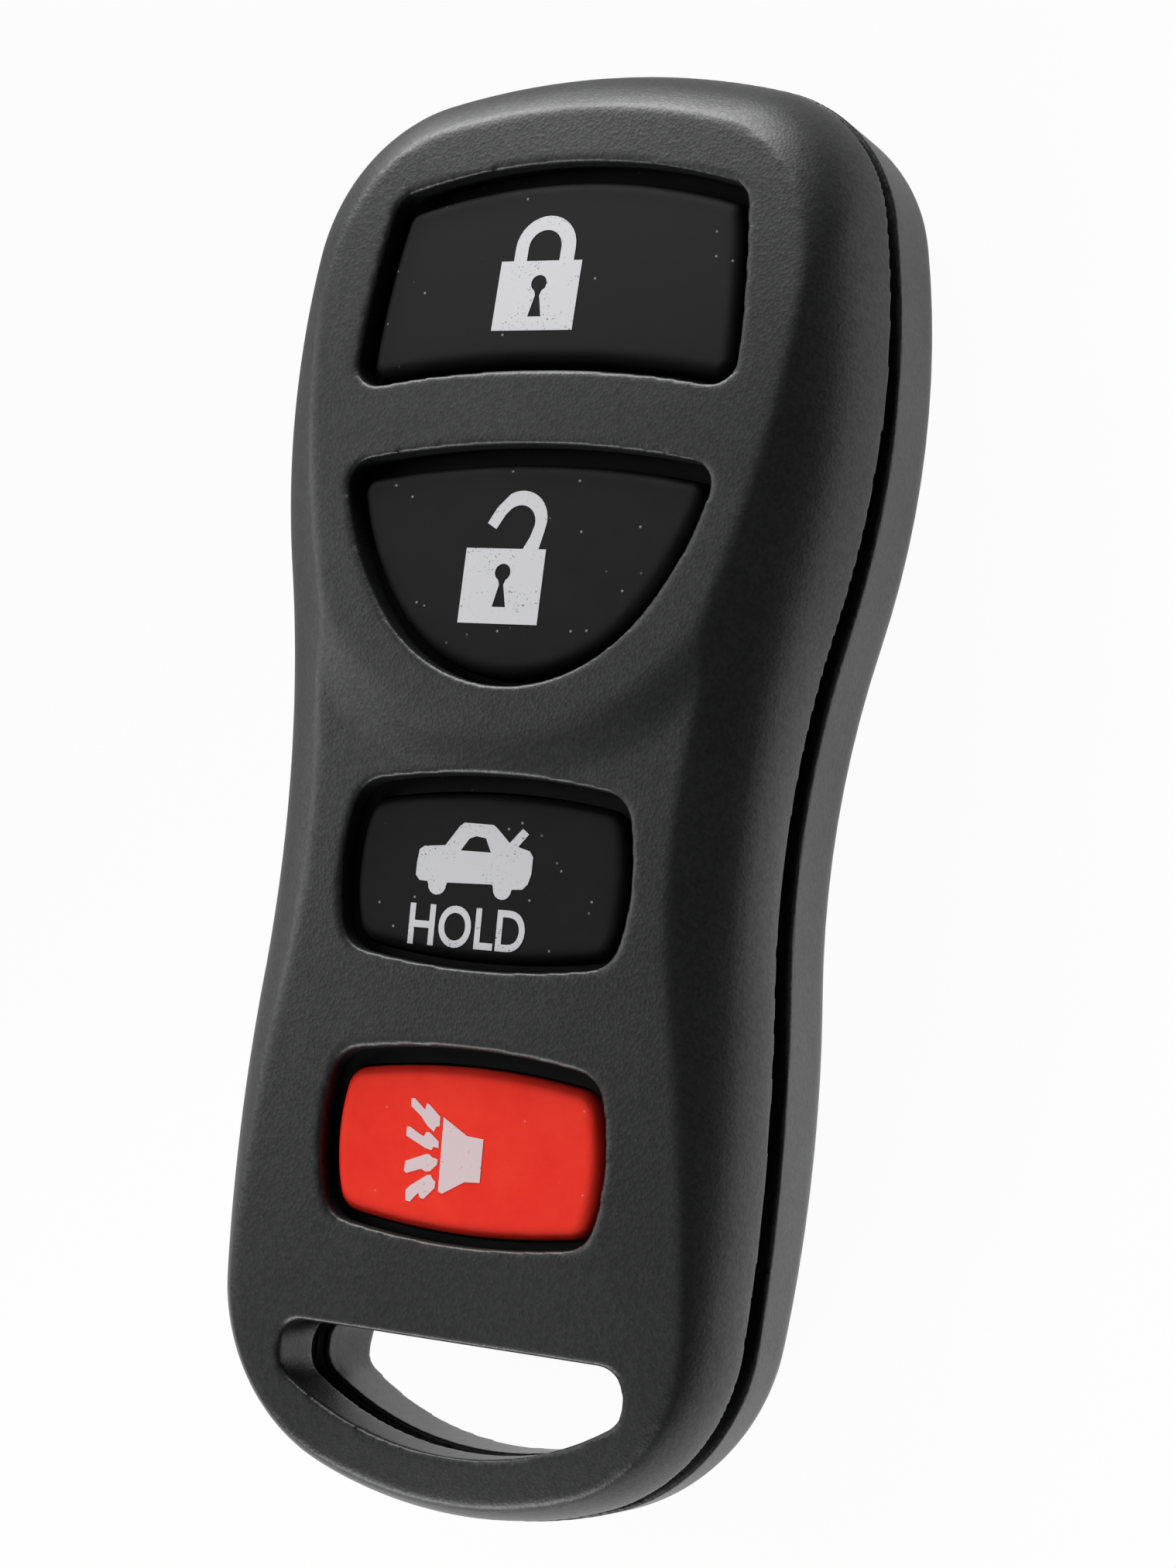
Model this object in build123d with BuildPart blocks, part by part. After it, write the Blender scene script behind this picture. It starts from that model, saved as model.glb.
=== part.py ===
# A car keyless entry remote lying on its back: two moulded case shells, a silicone keypad
# with four buttons, tactile switches on a circuit board, a coin cell and its clips.
# Millimetres. The origin is on the back, under the middle of the case.
# +Z points out of the face with the buttons, +Y towards the end with the lock button.
from build123d import *

import os
from math import ceil, cos, hypot, radians, sin, sqrt

# Case as a whole
LENGTH = 71.9
THICKNESS = 13.0
TOP_Y = LENGTH / 2
TAIL_Y = -LENGTH / 2

# Plan outline at the seam: half widths at the head, the waist and the hips
HEAD_HALF = 16.3
WAIST_HALF = HEAD_HALF * 0.826
HIP_HALF = HEAD_HALF * 0.87
HEAD_Y = TOP_Y * 0.534
WAIST_Y = TAIL_Y * 0.12
HIP_Y = TAIL_Y * 0.5424
HEAD_RADIUS = 47.0
TOP_RADIUS = 38.8
TAIL_RADIUS = 22.0
TOP_CORNER = 8.4
TAIL_CORNER = 9.7

# Front shell: how far the wall leans in from the seam to the face, and how much of that
# lean is straight. The rest follows a cubic, which leaves a full round shoulder.
HEAD_RUN, HEAD_LEAN = 4.7, 0.30
WAIST_RUN, WAIST_LEAN = 4.7, 0.0
HIP_RUN, HIP_LEAN = 4.4, 0.05
TOP_RUN, TOP_LEAN = 8.5, 0.25
TAIL_RUN, TAIL_LEAN = 5.0, 0.05
SHOULDER_STEPS = (0.0, 0.28, 0.52, 0.74, 0.9, 1.04)

# Face: a long arch, with a raised shield round the lock and unlock buttons
ARCH_FALL = 2.616
ARCH_RADIUS = TOP_Y**2 / (2 * ARCH_FALL)
ARCH_Y = TAIL_Y * 0.0222
SHIELD_RISE = 0.5
SHIELD_RADIUS = HEAD_HALF * 0.73
SHIELD_Y = TOP_Y * 0.3866
SHIELD_BLEND = 2.8
SHIELD_FADE = (TOP_Y * 0.2503, TOP_Y * 0.5007)
FACE_MESH = 1.0

# Seam between the shells, with the dark reveal that widens towards the waist
SEAM_HEAD = 7.15
SEAM_TAIL = 7.65
REAR_TOP_HEAD = 6.7
REAR_TOP_WAIST = 5.95
REAR_TOP_TAIL = 6.55
REAR_PROUD = 0.12
TONGUE_INSET = 1.1
TONGUE_WALL = 0.8
TONGUE_TOP = 8.4
TONGUE_GAP = 0.08

# Shell walls
ROOF = 1.8
FRONT_WALL = 3.2
REAR_WALL = 2.3
FLOOR = 1.5
CAVITY_TAIL_Y = TAIL_Y + 10.25

# Rear shell: flat back that lifts towards the key ring end
BACK_ROUND = 2.4
BACK_LIFT_Y = TAIL_Y * 0.2782
BACK_LIFT_RADIUS = 110.0

# Key ring slot
SLOT_HALF = HEAD_HALF * 0.5767
SLOT_TOP_Y = TAIL_Y + 8.45
SLOT_FOOT_Y = TAIL_Y + 3.05
SLOT_FOOT_RADIUS = HEAD_HALF * 1.0123
SLOT_CORNER = 1.3
SLOT_SHELF = 0.5

# Button openings in the face
LOCK_TOP_HALF, LOCK_FOOT_HALF = HEAD_HALF * 0.592, HEAD_HALF * 0.6411
LOCK_TOP_Y, LOCK_FOOT_Y = TOP_Y - 7.1, TOP_Y * 0.5188
LOCK_CROWN, LOCK_ARCH, LOCK_BULGE = 1.58, 1.06, 0.25
UNLOCK_HALF = HEAD_HALF * 0.6215
UNLOCK_TOP_Y, UNLOCK_CROWN = TOP_Y * 0.4145, 1.03
UNLOCK_FOOT_Y = TOP_Y * 0.1107
UNLOCK_BOWL, UNLOCK_BOWL_ANGLE = HEAD_HALF * 0.5356, 50.0
TRUNK_HALF, TRUNK_TOP_Y, TRUNK_FOOT_Y = HEAD_HALF * 0.4448, TAIL_Y * 0.0273, TAIL_Y * 0.2517
PANIC_HALF, PANIC_TOP_Y, PANIC_FOOT_Y = HEAD_HALF * 0.4356, TAIL_Y * 0.395, TAIL_Y * 0.6175
SMALL_CROWN, SMALL_BULGE = 0.68, 0.66
LARGE_CORNER, SMALL_CORNER = 1.25, 1.7

# Buttons and the silicone web round them. Each button stands further from its opening's head.
BUTTON_GAP = 0.5
BUTTON_HEAD_GAP = 0.35
BUTTON_SINK = 0.6
BUTTON_ROUND = 0.6
BUTTON_TRAVEL = 0.4
WEB = 0.7
WEB_GAP = 0.05
WEB_BUTTON_GAP = 0.12
WEB_INSET = 0.3
NIB_RADIUS = 1.4
PLUNGER_GAP = 0.05

# Circuit board and its posts
BOARD = 0.8
BOARD_TOP = 6.4
BOARD_INSET = 3.7
BOARD_TAIL_Y = TAIL_Y + 10.95
POST_RADIUS = 1.1
POST_PLACES = (
    (HEAD_HALF * 0.675, TOP_Y * 0.5841),
    (HEAD_HALF * 0.552, TOP_Y * 0.0417),
    (HEAD_HALF * 0.552, TAIL_Y * 0.4729),
)
SEAT_GAP = 0.05

# Tactile switches
SWITCH_WIDTH, SWITCH_DEPTH, SWITCH_HEIGHT = 5.2, 4.2, 1.3
SWITCH_Y = {
    "lock": (LOCK_TOP_Y + LOCK_FOOT_Y) / 2,
    "unlock": UNLOCK_TOP_Y - 4.4,
    "trunk": (TRUNK_TOP_Y + TRUNK_FOOT_Y) / 2,
    "panic": (PANIC_TOP_Y + PANIC_FOOT_Y) / 2,
}
STEM_RADIUS = 1.0
STEM_GAP = 0.05
STEM_PROUD = 0.5
STEM_FOOT_RISE = 1.0
WELL_RADIUS, WELL_FOOT, WELL_TOP = 1.7, 0.12, 0.85
DOME_SHEET, DOME_RISE, DOME_VENT = 0.12, 0.25, 0.15

# Coin cell, under the board
CELL_RADIUS, CELL_HEIGHT = 10.0, 2.5
CELL_Y = TOP_Y * 0.4311
CELL_FOOT = 1.92
CLIP_SHEET, CLIP_WIDTH, CLIP_GAP = 0.3, 6.0, 0.1
LEAF_SHEET, LEAF_WIDTH, LEAF_REACH = 0.2, 3.0, 5.0

# Parts soldered on the board
CHIP_SIZE, CHIP_PLACE = (6.0, 9.8, 1.5), (0.0, TAIL_Y * 0.2503)
CHIP_LEG_PITCH, CHIP_LEG_COUNT, CHIP_LEG = 1.27, 7, (1.1, 0.4, 0.25)
CAN_RADIUS, CAN_HALF_LENGTH, CAN_HEIGHT = 2.0, 3.2, 3.0
CAN_PLACE = (0.0, TAIL_Y * 0.5424)
FILTER_SIZE, FILTER_PLACE = (5.0, 3.6, 1.4), (0.0, TOP_Y * 0.484)
RESISTOR_SIZE = (1.6, 0.8, 0.45)
RESISTOR_X, RESISTOR_PITCH = 6.2, 1.8
RESISTOR_ROWS = [(-RESISTOR_X, row) for row in (1.5, 0.5, -0.5, -1.5)]
RESISTOR_ROWS += [(RESISTOR_X, row) for row in (0.0, -1.0)]
RESISTOR_PLACES = [(x, SWITCH_Y["trunk"] + row * RESISTOR_PITCH) for x, row in RESISTOR_ROWS]
CAPACITOR_SIZE = (2.0, 1.2, 0.9)
CAPACITOR_PLACES = [
    (-HEAD_HALF * 0.5276, TOP_Y * 0.1392),
    (HEAD_HALF * 0.5276, TOP_Y * 0.1392),
    (-HEAD_HALF * 0.4417, TAIL_Y * 0.598),
    (HEAD_HALF * 0.4417, TAIL_Y * 0.598),
    (-4.8, FILTER_PLACE[1]),
]
ANTENNA_SHEET, ANTENNA_EDGE, ANTENNA_WIDTH, ANTENNA_TOP_Y = 0.1, 0.5, 1.0, TOP_Y * 0.0556

# Case screw, from the back into a boss under the face
SCREW_Y = TOP_Y * 0.0515
SCREW_RADIUS = 0.85
SCREW_HEAD_RADIUS, SCREW_HEAD = 1.75, 1.0
SCREW_SINK = 0.35
SCREW_LENGTH = 8.0
SCREW_CROSS = 0.5
BOSS_RADIUS = 1.75
BOSS_FOOT = 6.6
BORE_GAP = 0.05
HEAD_GAP = 0.15
PASS_GAP = 0.3
PILLAR_RADIUS = 2.9

REACH = LENGTH


def face_height(y):
    """Height of the arched face over the middle line."""
    return THICKNESS - (y - ARCH_Y) ** 2 / (2 * ARCH_RADIUS)


def smooth_step(value, low, high):
    """Rises smoothly from 0 at low to 1 at high."""
    share = min(max((value - low) / (high - low), 0.0), 1.0)
    return share * share * (3 - 2 * share)


def shield_drop(x, y):
    """How far the face lies below the raised shield."""
    outside = hypot(x, min(y - SHIELD_Y, 0.0)) - SHIELD_RADIUS
    fade = 1 - smooth_step(y, *SHIELD_FADE)
    return SHIELD_RISE * smooth_step(outside, 0.0, SHIELD_BLEND) * fade


def bow(centre, start, end):
    """The shorter arc about a centre."""
    spoke = ((start + end) * 0.5 - centre).normalized()
    return ThreePointArc(start, centre + spoke * (start - centre).length, end)


def crossing(centre, radius, other, other_radius, upper):
    """Where two circles cross, the upper or the lower of the two points."""
    apart = other - centre
    along = (radius**2 - other_radius**2 + apart.length**2) / (2 * apart.length)
    foot = centre + apart.normalized() * along
    side = Vector(-apart.Y, apart.X).normalized() * sqrt(radius**2 - along**2)
    pair = sorted((foot + side, foot - side), key=lambda point: point.Y)
    return pair[1] if upper else pair[0]


def touching(step, run):
    """Sum of the radii of two arcs that join smoothly across a step in width."""
    return (step**2 + run**2) / (2 * step)


def case_outline(head=0.0, waist=0.0, hip=0.0, top=0.0, tail=0.0):
    """Plan outline of the case, drawn in by an amount at each station."""
    head_half, waist_half, hip_half = HEAD_HALF - head, WAIST_HALF - waist, HIP_HALF - hip
    waist_radius = touching(head_half - waist_half, HEAD_Y - WAIST_Y) - HEAD_RADIUS
    hip_radius = touching(hip_half - waist_half, WAIST_Y - HIP_Y) - waist_radius
    head_at = Vector(head_half - HEAD_RADIUS, HEAD_Y)
    waist_at = Vector(waist_half + waist_radius, WAIST_Y)
    hip_at = Vector(hip_half - hip_radius, HIP_Y)
    top_at = Vector(0, TOP_Y - top - TOP_RADIUS)
    tail_at = Vector(0, TAIL_Y + tail + TAIL_RADIUS)
    shoulder = crossing(top_at, TOP_RADIUS, head_at, HEAD_RADIUS, upper=True)
    upper_turn = head_at + (waist_at - head_at).normalized() * HEAD_RADIUS
    lower_turn = hip_at + (waist_at - hip_at).normalized() * hip_radius
    foot = crossing(tail_at, TAIL_RADIUS, hip_at, hip_radius, upper=False)
    with BuildSketch() as outline:
        with BuildLine():
            bow(head_at, shoulder, upper_turn)
            bow(waist_at, upper_turn, lower_turn)
            bow(hip_at, lower_turn, foot)
            mirror(about=Plane.YZ)
            bow(top_at, shoulder, Vector(-shoulder.X, shoulder.Y))
            bow(tail_at, foot, Vector(-foot.X, foot.Y))
        make_face()
        corners = outline.vertices().sort_by(Axis.Y)
        fillet(corners[-2:], radius=TOP_CORNER)
        corners = outline.vertices().sort_by(Axis.Y)
        fillet(corners[:2], radius=TAIL_CORNER - hip / 2)
    return outline.sketch


def shoulder_inset(run, lean, rise):
    """How far the wall has leaned in at a share of the height from seam to face."""
    return run * (lean * rise + (1 - lean) * rise**3)


def front_outline(rise):
    """Plan outline of the front shell at a share of the height from seam to face."""
    return case_outline(
        head=shoulder_inset(HEAD_RUN, HEAD_LEAN, rise),
        waist=shoulder_inset(WAIST_RUN, WAIST_LEAN, rise),
        hip=shoulder_inset(HIP_RUN, HIP_LEAN, rise),
        top=shoulder_inset(TOP_RUN, TOP_LEAN, rise),
        tail=shoulder_inset(TAIL_RUN, TAIL_LEAN, rise),
    )


def drawn_in(sharp, inset, corner, count):
    """A sharp outline drawn in by the inset, with its uppermost corners rounded."""
    with BuildSketch() as outline:
        add(sharp)
        if inset:
            offset(amount=-inset, kind=Kind.INTERSECTION)
        fillet(outline.vertices().sort_by(Axis.Y)[-count:], radius=corner - inset)
    return outline.sketch


def keystone(top_half, foot_half, top_y, foot_y, crown, arch, bulge, corner, inset):
    """An opening of four bowed sides with rounded corners, or the same drawn in."""
    with BuildSketch() as opening:
        with BuildLine():
            ThreePointArc((-top_half, top_y), (0, top_y + crown), (top_half, top_y))
            middle = ((top_half + foot_half) / 2 + bulge, (top_y + foot_y) / 2)
            ThreePointArc((top_half, top_y), middle, (foot_half, foot_y))
            ThreePointArc((foot_half, foot_y), (0, foot_y + arch), (-foot_half, foot_y))
            ThreePointArc((-foot_half, foot_y), (-middle[0], middle[1]), (-top_half, top_y))
        make_face()
    return drawn_in(opening.sketch, inset, corner, 4)


def half_shield(top_y, inset):
    """The unlock button's opening, or the same drawn in: a bowed top over a deep bowl."""
    turn = radians(UNLOCK_BOWL_ANGLE)
    reach, climb = UNLOCK_BOWL * sin(turn), UNLOCK_BOWL * (1 - cos(turn))
    side = (reach, UNLOCK_FOOT_Y + climb)
    with BuildSketch() as opening:
        with BuildLine():
            ThreePointArc((-side[0], side[1]), (0, UNLOCK_FOOT_Y), side)
            TangentArc(side, (UNLOCK_HALF, top_y), tangent=(cos(turn), sin(turn)))
            TangentArc((-side[0], side[1]), (-UNLOCK_HALF, top_y), tangent=(-cos(turn), sin(turn)))
            ThreePointArc((-UNLOCK_HALF, top_y), (0, top_y + UNLOCK_CROWN), (UNLOCK_HALF, top_y))
        make_face()
    return drawn_in(opening.sketch, inset, LARGE_CORNER, 2)


def slot_outline():
    """The key ring slot: straight along the top, bowed along the foot."""
    foot_at = SLOT_FOOT_Y + SLOT_FOOT_RADIUS
    side_y = foot_at - sqrt(SLOT_FOOT_RADIUS**2 - SLOT_HALF**2)
    with BuildSketch() as slot:
        with BuildLine():
            upper = (SLOT_HALF, SLOT_TOP_Y), (-SLOT_HALF, SLOT_TOP_Y)
            Polyline((SLOT_HALF, side_y), *upper, (-SLOT_HALF, side_y))
            ThreePointArc((-SLOT_HALF, side_y), (0, SLOT_FOOT_Y), (SLOT_HALF, side_y))
        make_face()
        fillet(slot.vertices(), radius=SLOT_CORNER)
    return slot.sketch


def under_arch(drop):
    """All that lies below the face's arch, lowered by drop."""
    start, crown, end = ((y, face_height(y) - drop) for y in (-REACH, ARCH_Y, REACH))
    with BuildPart() as block:
        with BuildSketch(Plane.YZ):
            with BuildLine():
                ThreePointArc(start, crown, end)
                Polyline(end, (REACH, -REACH), (-REACH, -REACH), start)
            make_face()
        extrude(amount=REACH / 2, both=True)
    return block.part


def grown(plan, amount):
    """A plan drawn out, or drawn in when the amount is negative."""
    with BuildSketch() as larger:
        add(plan)
        offset(amount=amount)
    return larger.sketch


def cut_at_tail(plan, tail_y):
    """A plan without what lies past a line across the tail."""
    with BuildSketch() as shorter:
        add(plan)
        with Locations((0, tail_y - REACH / 2)):
            Rectangle(REACH, REACH, mode=Mode.SUBTRACT)
    return shorter.sketch


def save(piece, name):
    """Label a finished piece and write its file."""
    piece.part.label = name
    export_step(piece.part, f"parts/{name}.step")


os.makedirs("parts", exist_ok=True)

# Plans shared by the pieces
case_plan = case_outline()
slot_plan = slot_outline()


def key_plans(inset, lowered=0.0):
    """The plans of the four openings in the face, drawn in by the inset, with their heads lowered."""
    lock_ends = (LOCK_TOP_Y - lowered, LOCK_FOOT_Y, LOCK_CROWN, LOCK_ARCH, LOCK_BULGE)
    trunk_ends = (TRUNK_TOP_Y - lowered, TRUNK_FOOT_Y, SMALL_CROWN, -SMALL_CROWN, SMALL_BULGE)
    panic_ends = (PANIC_TOP_Y - lowered, PANIC_FOOT_Y, SMALL_CROWN, -SMALL_CROWN, SMALL_BULGE)
    return {
        "lock": keystone(LOCK_TOP_HALF, LOCK_FOOT_HALF, *lock_ends, LARGE_CORNER, inset),
        "unlock": half_shield(UNLOCK_TOP_Y - lowered, inset),
        "trunk": keystone(TRUNK_HALF, TRUNK_HALF, *trunk_ends, SMALL_CORNER, inset),
        "panic": keystone(PANIC_HALF, PANIC_HALF, *panic_ends, SMALL_CORNER, inset),
    }


front_cavity_plan = cut_at_tail(grown(case_plan, -FRONT_WALL), CAVITY_TAIL_Y)
rear_cavity_plan = cut_at_tail(grown(case_plan, -REAR_WALL), CAVITY_TAIL_Y)

# The tongue runs round inside the rim and fills the tail round the slot
tongue_inner = TONGUE_INSET + TONGUE_WALL
with BuildSketch() as tongue_sketch:
    add(grown(case_plan, -TONGUE_INSET))
    add(cut_at_tail(grown(case_plan, -tongue_inner), CAVITY_TAIL_Y - TONGUE_WALL), mode=Mode.SUBTRACT)
    add(grown(slot_plan, TONGUE_WALL), mode=Mode.SUBTRACT)
tongue_plan = tongue_sketch.sketch
with BuildSketch() as groove_sketch:
    add(grown(case_plan, TONGUE_GAP - TONGUE_INSET))
    add(
        cut_at_tail(grown(case_plan, -tongue_inner - TONGUE_GAP), CAVITY_TAIL_Y - TONGUE_WALL + TONGUE_GAP),
        mode=Mode.SUBTRACT,
    )
    add(grown(slot_plan, TONGUE_WALL - TONGUE_GAP), mode=Mode.SUBTRACT)
groove_plan = groove_sketch.sketch

# The face as one surface over a square mesh of points
across, along = ceil((HEAD_HALF + 2) / FACE_MESH), ceil((TOP_Y + 2) / FACE_MESH)
columns = [FACE_MESH * step for step in range(-across, across + 1)]
rows = [FACE_MESH * step for step in range(-along, along + 1)]
face_surface = Face.make_surface_from_array_of_points(
    [[Vector(x, y, face_height(y) - shield_drop(x, y)) for y in rows] for x in columns],
    tol=0.005,
)

# Front shell
with BuildPart() as front_cavity:
    with BuildSketch(Plane.XY):
        add(front_cavity_plan)
    extrude(amount=THICKNESS)
    add(under_arch(ROOF), mode=Mode.INTERSECT)

with BuildPart() as front_shell:
    for rise in SHOULDER_STEPS:
        with BuildSketch(Plane.XY.offset(SEAM_HEAD + rise * (THICKNESS - SEAM_HEAD))):
            add(front_outline(rise))
    loft()
    extrude(face_surface, amount=THICKNESS, dir=(0, 0, 1), mode=Mode.SUBTRACT)
    # The lower rim slopes from head to tail
    with BuildSketch(Plane.YZ):
        with BuildLine():
            head, tail = TOP_Y + 1, TAIL_Y - 1
            Polyline((head, 0), (head, SEAM_HEAD), (tail, SEAM_TAIL), (tail, 0), close=True)
        make_face()
    extrude(amount=HEAD_HALF + 1, both=True, mode=Mode.SUBTRACT)
    add(front_cavity.part, mode=Mode.SUBTRACT)
    with BuildSketch(Plane.XY):
        add(groove_plan)
    extrude(amount=TONGUE_TOP + TONGUE_GAP, mode=Mode.SUBTRACT)
    for plan in (*key_plans(0).values(), slot_plan):
        with BuildSketch(Plane.XY):
            add(plan)
        extrude(amount=THICKNESS + 1, mode=Mode.SUBTRACT)
    # Boss for the case screw, up into the roof
    with BuildSketch(Plane.XY.offset(BOSS_FOOT)):
        with Locations((0, SCREW_Y)):
            Circle(BOSS_RADIUS)
    extrude(amount=face_height(SCREW_Y) - ROOF / 2 - BOSS_FOOT)
    with BuildSketch(Plane.XY.offset(BOSS_FOOT)):
        with Locations((0, SCREW_Y)):
            Circle(SCREW_RADIUS + BORE_GAP)
    extrude(amount=SCREW_SINK + SCREW_HEAD + SCREW_LENGTH + SEAT_GAP * 4 - BOSS_FOOT, mode=Mode.SUBTRACT)
save(front_shell, "front_shell")

# Rear shell
rear_plan = grown(case_plan, REAR_PROUD)
with BuildPart() as rear_shell:
    with BuildSketch(Plane.XY):
        add(rear_plan)
    extrude(amount=SEAM_TAIL)
    # The back is flat under the head and lifts towards the key ring end
    lift_end = BACK_LIFT_RADIUS - sqrt(BACK_LIFT_RADIUS**2 - (TAIL_Y - 2 - BACK_LIFT_Y) ** 2)
    with BuildSketch(Plane.YZ):
        with BuildLine():
            TangentArc((BACK_LIFT_Y, 0), (TAIL_Y - 2, lift_end), tangent=(-1, 0))
            Polyline((TAIL_Y - 2, lift_end), (TAIL_Y - 2, 0), (BACK_LIFT_Y, 0))
        make_face()
    extrude(amount=HEAD_HALF + 1, both=True, mode=Mode.SUBTRACT)
    under = rear_shell.faces().filter_by(lambda face: face.normal_at().Z < -0.7)
    rim = under.edges().filter_by(lambda edge: abs(edge.center().Y - BACK_LIFT_Y) > 0.01)
    fillet(rim, radius=BACK_ROUND)
    # The upper rim dips at the waist
    with BuildSketch(Plane.YZ):
        with BuildLine():
            head, tail = TOP_Y + 1, TAIL_Y - 1
            ThreePointArc((head, REAR_TOP_HEAD), (WAIST_Y, REAR_TOP_WAIST), (tail, REAR_TOP_TAIL))
            Polyline((tail, REAR_TOP_TAIL), (tail, THICKNESS), (head, THICKNESS), (head, REAR_TOP_HEAD))
        make_face()
    extrude(amount=HEAD_HALF + 1, both=True, mode=Mode.SUBTRACT)
    with BuildSketch(Plane.XY.offset(FLOOR)):
        add(rear_cavity_plan)
    extrude(amount=THICKNESS, mode=Mode.SUBTRACT)
    # Tongue that stands up into the front shell's groove
    with BuildSketch(Plane.XY.offset(REAR_TOP_WAIST - 1)):
        add(tongue_plan)
    extrude(amount=TONGUE_TOP - REAR_TOP_WAIST + 1)
    # Posts under the circuit board, and the pillar round the screw
    with BuildSketch(Plane.XY.offset(FLOOR - SEAT_GAP)):
        for x, y in POST_PLACES:
            with Locations((x, y), (-x, y)):
                Circle(POST_RADIUS)
    extrude(amount=BOARD_TOP - BOARD - SEAT_GAP - (FLOOR - SEAT_GAP))
    with BuildSketch(Plane.XY.offset(FLOOR - SEAT_GAP)):
        with Locations((0, SCREW_Y)):
            Circle(PILLAR_RADIUS)
    extrude(amount=BOARD_TOP - BOARD - SEAT_GAP - (FLOOR - SEAT_GAP))
    with BuildSketch(Plane.XY):
        add(slot_plan)
    extrude(amount=THICKNESS, mode=Mode.SUBTRACT)
    # A shelf round the slot, below the rim
    with BuildSketch(Plane.XY.offset(REAR_TOP_TAIL - SLOT_SHELF)):
        add(grown(slot_plan, SLOT_SHELF))
    extrude(amount=THICKNESS, mode=Mode.SUBTRACT)
    with BuildSketch(Plane.XY):
        with Locations((0, SCREW_Y)):
            Circle(SCREW_RADIUS + PASS_GAP)
    extrude(amount=THICKNESS, mode=Mode.SUBTRACT)
    with BuildSketch(Plane.XY):
        with Locations((0, SCREW_Y)):
            Circle(SCREW_HEAD_RADIUS + HEAD_GAP)
    extrude(amount=SCREW_SINK + SCREW_HEAD, mode=Mode.SUBTRACT)
save(rear_shell, "rear_shell")

# Case screw: a pan head with a cross recess, sunk in the back
with BuildPart() as case_screw:
    with BuildSketch(Plane.XY.offset(SCREW_SINK)):
        with Locations((0, SCREW_Y)):
            Circle(SCREW_HEAD_RADIUS)
    extrude(amount=SCREW_HEAD)
    fillet(case_screw.edges().sort_by(Axis.Z)[0], radius=SCREW_HEAD / 3)
    with BuildSketch(Plane.XY.offset(SCREW_SINK + SCREW_HEAD)):
        with Locations((0, SCREW_Y)):
            Circle(SCREW_RADIUS)
    extrude(amount=SCREW_LENGTH)
    with BuildSketch(Plane.XY.offset(SCREW_SINK)):
        with Locations((0, SCREW_Y)):
            Rectangle(SCREW_HEAD_RADIUS * 1.2, SCREW_CROSS)
            Rectangle(SCREW_CROSS, SCREW_HEAD_RADIUS * 1.2)
    extrude(amount=SCREW_HEAD * 0.6, mode=Mode.SUBTRACT)
save(case_screw, "case_screw")

# Keypad web: a silicone sheet under the roof, with a hole for each button
web_plan = cut_at_tail(grown(case_plan, -FRONT_WALL - WEB_INSET), CAVITY_TAIL_Y + WEB_INSET)
with BuildPart() as keypad_web:
    with BuildSketch(Plane.XY):
        add(web_plan)
        for plan in key_plans(BUTTON_GAP - WEB_BUTTON_GAP, BUTTON_HEAD_GAP).values():
            add(plan, mode=Mode.SUBTRACT)
        with Locations((0, SCREW_Y)):
            Circle(BOSS_RADIUS + WEB_INSET, mode=Mode.SUBTRACT)
    extrude(amount=THICKNESS)
    add(under_arch(ROOF + WEB_GAP), mode=Mode.INTERSECT)
    add(under_arch(ROOF + WEB_GAP + WEB), mode=Mode.SUBTRACT)
save(keypad_web, "keypad_web")

# Buttons: each cap stands in its opening, with a nib that meets the switch's stem
stem_top = BOARD_TOP + SWITCH_HEIGHT + STEM_PROUD
for name, plan in key_plans(BUTTON_GAP, BUTTON_HEAD_GAP).items():
    y = SWITCH_Y[name]
    extent = plan.bounding_box()
    foot = face_height(max(extent.max.Y, -extent.min.Y)) - ROOF - WEB_GAP - WEB
    with BuildPart() as button:
        with BuildSketch(Plane.XY.offset(foot)):
            add(plan)
        extrude(amount=THICKNESS - foot)
        add(under_arch(BUTTON_SINK + shield_drop(0, y)), mode=Mode.INTERSECT)
        fillet(button.faces().sort_by(Axis.Z)[-1].edges(), radius=BUTTON_ROUND)
        with BuildSketch(Plane.XY.offset(stem_top + PLUNGER_GAP)):
            with Locations((0, y)):
                Circle(NIB_RADIUS)
        extrude(amount=foot - stem_top)
    save(button, f"{name}_button")

# Circuit board
board_foot = BOARD_TOP - BOARD
board_plan = cut_at_tail(grown(case_plan, -BOARD_INSET), BOARD_TAIL_Y)
with BuildPart() as circuit_board:
    with BuildSketch(Plane.XY.offset(board_foot)):
        add(board_plan)
        with Locations((0, SCREW_Y)):
            Circle(BOSS_RADIUS + WEB_INSET, mode=Mode.SUBTRACT)
    extrude(amount=BOARD)
save(circuit_board, "circuit_board")

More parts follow.
